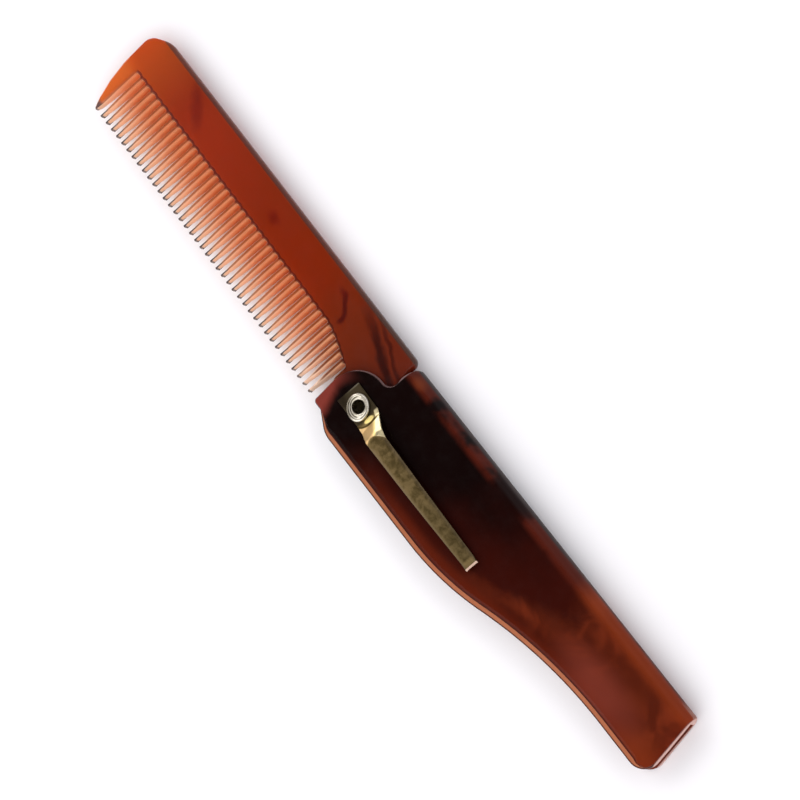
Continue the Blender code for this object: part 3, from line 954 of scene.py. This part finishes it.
# %% Polish the case
dull_bend = between(tree, y, 11.0, 12.5, 0.0, 0.2)
polish = plus(tree, fine_gloss(tree, own), dull_bend)
polish_plastic(tree, shader, own, polish, 0.1)
clear = maths(tree, "MAXIMUM", clearing, on_flat)
let_light_through(tree, shader, product(tree, clear, 0.25), (0.8, 0.24, 0.12, 1.0))
dress(case, shell)
print("case finish:", len(tree.nodes), "nodes")

# %% [markdown]
# The comb is the same plastic with far less brown in it. Over the white table it glows
# red-brown, and orange where it is thin: at the nose, in the guard tooth and in the fine
# teeth. Part of that glow is painted into the colour. A few brown clouds drift in from the heel.

# %% Finish the comb
amber, tree, shader, own = new_finish("amber_tortoiseshell")
x, y, z = along_axes(tree, own)
y = plus(tree, y, product(tree, x, float(-OPEN_ANGLE)))
large = cloud(tree, own, 26.0, 2.0, 0.5, 0.5)
small = cloud(tree, own, 5.0, 3.0, 0.5, 0.7)
lumps = between(tree, large, 0.35, 0.65)
red = mixed(tree, lumps, (0.22, 0.0255, 0.003), (0.29, 0.034, 0.0045))
deeper = product(tree, between(tree, x, -66.0, -44.0), 0.8)
red = mixed(tree, deeper, red, (0.182, 0.0285, 0.0038))
# The orange nose and guard tooth are painted glow of light through the plastic.
body = mixed(tree, between(tree, x, -72.0, -90.0), red, (0.43, 0.095, 0.01))
guard = product(tree, between(tree, x, -86.5, -90.5), between(tree, y, 8.0, 2.0))
body = mixed(tree, guard, body, (0.56, 0.135, 0.015))
heel = between(tree, plus(tree, x, swing(tree, large, 7.0)), -30.0, -2.0)
heel_through = between(tree, heel, 0.0, 1.0, 1.0, 0.35)
body = mixed(tree, product(tree, heel, 0.9), body, (0.118, 0.0155, 0.006))
print("comb body: orange nose, red middle, brown heel")

# %% Draw the clouds and flow lines
wx = plus(tree, x, swing(tree, small, 1.3))
wy = plus(tree, y, swing(tree, cloud(tree, own, 4.0, 2.0), 1.0))
sheared = plus(tree, wy, product(tree, wx, 0.7))
cloudy = spot(tree, wx, sheared, (-73.0, -40.7), (3.4, 1.5), 0.6)
body = mixed(tree, product(tree, cloudy, 0.7), body, (0.07, 0.009, 0.004))
dot = product(tree, spot(tree, wx, wy, (-43.4, 9.2), (1.7, 1.1), 0.6), 0.7)
body = mixed(tree, dot, body, (0.04, 0.0055, 0.003))
hook_x = minus(tree, wx, -22.0)
hook_y = minus(tree, wy, 6.3)
hook = line(tree, length(tree, hook_x, hook_y), 5.0, 0.85)
hook = product(tree, hook, between(tree, x, -23.5, -20.5), between(tree, y, 5.9, 7.2), 0.9)
body = mixed(tree, hook, body, (0.032, 0.004, 0.003))
flow = plus(tree, wy, product(tree, wx, 0.37))
broad = product(tree, line(tree, flow, 7.2, 1.6), between(tree, x, -20.0, -7.0), 0.9)
body = mixed(tree, broad, body, (0.022, 0.0036, 0.0024))
thin_line = product(tree, line(tree, flow, 9.6, 0.8), between(tree, x, -19.0, -6.0), 0.75)
body = mixed(tree, thin_line, body, (0.036, 0.0046, 0.0024))
# A grey-brown line along the rounded back is a painted grazing reflection.
back_reflection = between(tree, y, 13.35, 13.8)
body = mixed(tree, product(tree, back_reflection, 0.9), body, (0.052, 0.027, 0.019))
print("comb marks: cloud, dot, hook and two flow lines")

# %% Colour the teeth, with painted light on their sides and painted shade at roots and tips
past_bend = maths(tree, "MAXIMUM", minus(tree, x, ROOT_BEND_X), 0.0)
root_drop = product(tree, maths(tree, "POWER", past_bend, 1.5), ROOT_BEND)
above_root = minus(tree, y, minus(tree, ROOTS_Y, root_drop))
left_of_lug = between(tree, x, -8.2, -9.0)
in_row = product(tree, left_of_lug, between(tree, x, -88.7, -87.9))
past_guard = between(tree, x, -89.0, -88.0)
tooth_drop = product(tree, between(tree, above_root, 0.0, -1.0), past_guard, left_of_lug)
body = mixed(tree, product(tree, tooth_drop, 0.92), body, (0.115, 0.023, 0.005))
# A dark scalloped line at the gaps' ends is painted shade.
from_gap = minus(tree, x, LAST_TOOTH_X - PITCH / 2)
turns = product(tree, from_gap, 2 * np.pi / PITCH)
scallop = plus(tree, product(tree, maths(tree, "COSINE", turns), 0.08), 0.16)
root_shade = between(tree, minus(tree, above_root, scallop), 0.12, -0.06)
root_shade = product(tree, root_shade, between(tree, above_root, -0.9, -0.3), in_row, 0.95)
body = mixed(tree, root_shade, body, (0.045, 0.006, 0.0025))
drop = maths(tree, "MAXIMUM", product(tree, above_root, -1.0), 0.0)
thinned = maths(tree, "POWER", maths(tree, "DIVIDE", drop, ROOTS_Y - TIPS_Y), TAPER)
thinned = product(tree, thinned, (COMB_THICK - TIP_THICK) / 2)
half = minus(tree, COMB_THICK / 2, thinned)
off_middle = maths(tree, "ABSOLUTE", minus(tree, z, CASE_THICK / 2))
under_top = minus(tree, half, off_middle)
# The teeth's sides are painted salmon as lit and glowing, paler towards the tips.
wall = product(tree, between(tree, under_top, 0.03, 0.14), between(tree, above_root, 0.5, 0.1))
wall = product(tree, wall, left_of_lug)
right_side = between(tree, maths(tree, "SINE", turns), -0.35, -0.75)
shoulder = product(tree, right_side, tooth_drop, in_row)
wall = maths(tree, "MAXIMUM", wall, product(tree, shoulder, 0.8))
tipward = between(tree, y, 2.5, -4.5)
wall_tone = mixed(tree, tipward, (0.8, 0.41, 0.22), (0.96, 0.72, 0.54))
body = mixed(tree, wall, body, wall_tone)
# The tips are painted dark grey as shade.
tips = product(tree, between(tree, y, -4.2, -5.6), between(tree, wall, 0.0, 1.0, 0.92, 0.1))
tips = maths(tree, "MAXIMUM", tips, between(tree, y, -6.25, -6.55, 0.0, 0.9))
body = mixed(tree, tips, body, (0.05, 0.044, 0.048))
fill(tree, shader, {"Base Color": body})
print("teeth: brown fronts, salmon sides, grey tips")

# %% Polish the comb
polish_plastic(tree, shader, own, fine_gloss(tree, own), 0.22)
through = between(tree, above_root, 0.0, -1.5, 0.58, 0.44)
through = plus(tree, through, product(tree, wall, 0.24))
line_off = between(tree, root_shade, 0.0, 1.0, 1.0, 0.45)
through = product(tree, through, between(tree, tips, 0.0, 0.9, 1.0, 0.15), heel_through, line_off)
through = product(tree, through, between(tree, back_reflection, 0.0, 1.0, 1.0, 0.25))
pale = mixed(tree, tipward, (1.0, 0.6, 0.36), (1.0, 0.76, 0.58))
tint = mixed(tree, maths(tree, "MAXIMUM", tooth_drop, wall), (0.9, 0.19, 0.04), pale)
let_light_through(tree, shader, through, tint)
dress(comb, amber)
print("comb finish:", len(tree.nodes), "nodes")

# %% [markdown]
# The brass has gone olive and blotchy, except on the riser, where the pocket's edge and
# the thumb keep it less tarnished and a painted highlight makes it bright. The rivet was
# nickelled, and has worn to a warm grey.

# %% Finish the clip
brass, tree, shader, own = new_finish("tarnished_brass")
x, y, z = along_axes(tree, own)
blotch = cloud(tree, own, 1.6, 5.0, 0.65, 0.3)
grain = cloud(tree, own, 0.35, 3.0, 0.6)
olive = mixed(tree, between(tree, blotch, 0.35, 0.65), (0.108, 0.075, 0.028), (0.19, 0.134, 0.058))
middle_y = product(tree, minus(tree, x, 8.0), 0.0205)
off_line = maths(tree, "ABSOLUTE", plus(tree, plus(tree, y, 1.12), middle_y))
off_line = maths(tree, "DIVIDE", off_line, between(tree, x, 8.0, 39.8, 1.97, 1.55))
sides = product(tree, between(tree, off_line, 0.55, 0.92), between(tree, x, 8.0, 10.0), 0.7)
olive = mixed(tree, sides, olive, (0.16, 0.118, 0.066))
shade = between(tree, x, 12.0, 36.0, 0.0, 0.26)
olive = mixed(tree, shade, olive, (0.02, 0.015, 0.006))
body = mixed(tree, between(tree, x, 3.2, 2.6), olive, (0.058, 0.044, 0.024))
# The plate's left edge is painted as a highlight.
plate_edge_highlight = product(tree, between(tree, x, -3.6, -3.9), between(tree, y, -0.8, 2.2), 0.8)
body = mixed(tree, plate_edge_highlight, body, (0.2, 0.175, 0.125))
# The plate is darker near its lower left corner.
dark_spot = product(tree, spot(tree, x, y, (-3.6, -2.3), (1.9, 1.5), 0.6), 0.8)
body = mixed(tree, dark_spot, body, (0.018, 0.012, 0.008))
arch_y = minus(tree, y, ARCH_PLACE[1])
arch = plus(tree, product(tree, arch_y, arch_y, ARCH_CURVE), ARCH_PLACE[0])
before_arch = minus(tree, x, arch)
from_axis = length(tree, x, y)
past_fold = minus(tree, x, FOLD_PLACE[0])
fold_y = plus(tree, y, product(tree, past_fold, FOLD_SLOPE))
lit_side = between(tree, fold_y, 1.65, 1.9)
starts = product(tree, lit_side, between(tree, x, 2.3, 2.7))
past_rivet = product(tree, between(tree, from_axis, 4.3, 4.5), between(tree, x, 2.0, 2.6))
starts = maths(tree, "MAXIMUM", starts, past_rivet)
# The riser's brightness is partly less tarnish and partly a painted highlight; its lit facet is
# painted lighter than its tan one.
bright = product(tree, starts, between(tree, before_arch, 0.25, -0.15))
side_tone = mixed(tree, between(tree, fold_y, 0.9, 1.6), (0.6, 0.41, 0.19), (0.85, 0.7, 0.3))
worn = mixed(tree, lit_side, side_tone, (0.86, 0.74, 0.44))
body = mixed(tree, bright, body, worn)
# A dark line where the riser leaves the plate is painted shadow.
crease_shadow = product(tree, line(tree, from_axis, 4.2, 0.3), between(tree, x, 2.4, 3.0))
crease_shadow = product(tree, crease_shadow, between(tree, fold_y, 2.1, 1.8), 0.9)
body = mixed(tree, crease_shadow, body, (0.06, 0.04, 0.012))
# The bead beside the rivet is painted as a bright yellow highlight.
bead_highlight = spot(tree, x, y, (3.3, 0.0), (0.52, 1.15), 0.2)
body = mixed(tree, bead_highlight, body, (0.95, 0.79, 0.33))
# The arm's cut end is painted pinkish-white: polished metal there, with a painted highlight.
tip_end_highlight = between(tree, x, 39.44, 39.52)
body = mixed(tree, tip_end_highlight, body, (0.66, 0.46, 0.36))
shiny = maths(tree, "MAXIMUM", bright, tip_end_highlight)
dull_bead = product(tree, bead_highlight, 0.15)
dull = between(tree, blotch, 0.3, 0.7, 0.38, 0.56)
gloss = minus(tree, dull, product(tree, shiny, between(tree, fold_y, 1.7, 2.0), 0.16))
gloss = plus(tree, gloss, dull_bead)
fill(tree, shader, {"Base Color": body, "Metallic": 1.0, "Roughness": gloss})
bump(tree, shader, grain, 0.25, 0.00006)
dress(clip, brass)
print("clip finish:", len(tree.nodes), "nodes")

# %% Finish the rivet
nickel, tree, shader, own = new_finish("worn_nickel")
x, y, z = along_axes(tree, own)
smear = cloud(tree, own, 1.3, 2.0, 0.5)
ring = wire(tree, "Attribute", {}, attribute_name="ring_radius").outputs["Fac"]
plate = mixed(tree, between(tree, smear, 0.35, 0.65), (0.5, 0.46, 0.37), (0.7, 0.66, 0.56))
away = [product(tree, v, -part) for v, part in zip((x, y), CLOSED_SIDE)]
leftward = plus(tree, *away)
# A dark line in the lip's groove is painted shade.
groove = product(tree, line(tree, ring, 1.86, 0.13), between(tree, z, 6.9, 7.0))
groove = product(tree, groove, between(tree, leftward, -0.6, 0.4), 0.9)
# The lip and inner ring are painted darker on the side away from the case's closed edge, as shade.
outer = between(tree, ring, 1.92, 2.05)
shaded_lip = product(tree, outer, between(tree, leftward, 0.6, 2.0), 0.85)
shaded_ring = product(tree, between(tree, ring, 1.8, 1.7), between(tree, leftward, 0.3, -0.9), 0.25)
plate = mixed(tree, plus(tree, shaded_lip, shaded_ring), plate, (0.15, 0.125, 0.085))
body = mixed(tree, groove, plate, (0.085, 0.07, 0.045))
body = mixed(tree, between(tree, z, 6.9, 6.0), body, (0.3, 0.24, 0.14))
gloss = between(tree, smear, 0.3, 0.7, 0.22, 0.32)
fill(tree, shader, {"Base Color": body, "Metallic": 1.0, "Roughness": gloss})
bump(tree, shader, smear, 0.08, 0.00004)
dress(eyelet, nickel)
print("rivet finish:", len(tree.nodes), "nodes")

# %% [markdown]
# The comb lies on a plain white table. A large soft lamp stands on the teeth's side, past
# the handle's end, and throws a short soft shadow over the back. A weaker one beyond the
# nose fills that shadow, and a small low lamp picks out the clip's riser. The sky is
# bright half way up and dim overhead, so flat glossy faces stay deep in colour.

# %% Set up the table and the light
FLOOR_HALF = 1.5
corners = np.array([(-1, -1), (1, -1), (1, 1), (-1, 1)]) * FLOOR_HALF
floor_mesh = bpy.data.meshes.new("table_top")
floor_mesh.from_pydata(np.c_[corners, np.zeros(4)].tolist(), [], [[0, 1, 2, 3]])
floor = bpy.data.objects.new("table_top", floor_mesh)
bpy.context.scene.collection.objects.link(floor)
white, tree, shader, own = new_finish("white_table")
tone = mixed(tree, cloud(tree, own, 40.0, 2.0), (0.88, 0.88, 0.9), (0.9, 0.9, 0.91))
fill(tree, shader, {"Base Color": tone, "Roughness": 0.9, "Specular IOR Level": 0.1})
dress(floor, white)


def soft_lamp(name, place, size, watts, colour):
    """A square lamp at place that faces the comb's middle."""
    data = bpy.data.lights.new(name, "AREA")
    data.size = size
    data.energy = watts
    data.color = colour
    lamp = bpy.data.objects.new(name, data)
    lamp.location = place
    lamp.rotation_euler = (-Vector(place)).to_track_quat("-Z", "Y").to_euler()
    bpy.context.scene.collection.objects.link(lamp)


soft_lamp("window", (0.55, -0.65, 0.75), 1.8, 9.6, (1.0, 0.99, 0.97))
soft_lamp("fill", (-0.7, -0.3, 0.7), 0.8, 2.5, (1.0, 0.97, 0.95))
soft_lamp("low_lamp", (-0.95, 0.12, 0.24), 0.25, 0.5, (1.0, 0.98, 0.94))
world = bpy.data.worlds.new("room")
world.use_nodes = True
tree = world.node_tree
direction = wire(tree, "TexCoord", {}).outputs["Generated"]
height = wire(tree, "SeparateXYZ", {"Vector": direction}).outputs["Z"]
rising = between(tree, height, 0.02, 0.42, 0.4, 1.38)
overhead = between(tree, height, 0.68, 0.9, 1.0, 0.11)
strength = product(tree, rising, overhead)
sky = {"Color": (0.97, 0.95, 0.985, 1.0), "Strength": strength}
fill(tree, tree.nodes["Background"], sky)
bpy.context.scene.world = world
bpy.context.scene.view_settings.view_transform = "Standard"
